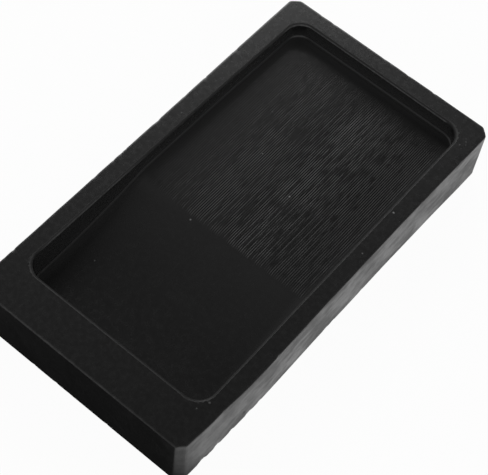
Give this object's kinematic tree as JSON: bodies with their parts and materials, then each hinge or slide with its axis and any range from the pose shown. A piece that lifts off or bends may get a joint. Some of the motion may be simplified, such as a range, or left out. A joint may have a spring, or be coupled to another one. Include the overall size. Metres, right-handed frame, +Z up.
{
  "type": "ink stone",
  "caption": "Rectangular ink stone carved from one slate block, with a rimmed well whose flat grinding land slopes down into a deeper ink pool.",
  "frame": {"origin": "middle of the flat underside", "axes": "+Y along the length from the ink pool to the grinding land, +X across the width to the right as seen from the pool end, +Z up out of the well"},
  "size_m": [0.08, 0.15, 0.021],
  "materials": {
    "slate": "honed black slate, waxed on the top and in the well, left ground on the sides"
  },
  "bodies": {
    "root": {"ink_stone": "slate"}
  },
  "joints": []
}
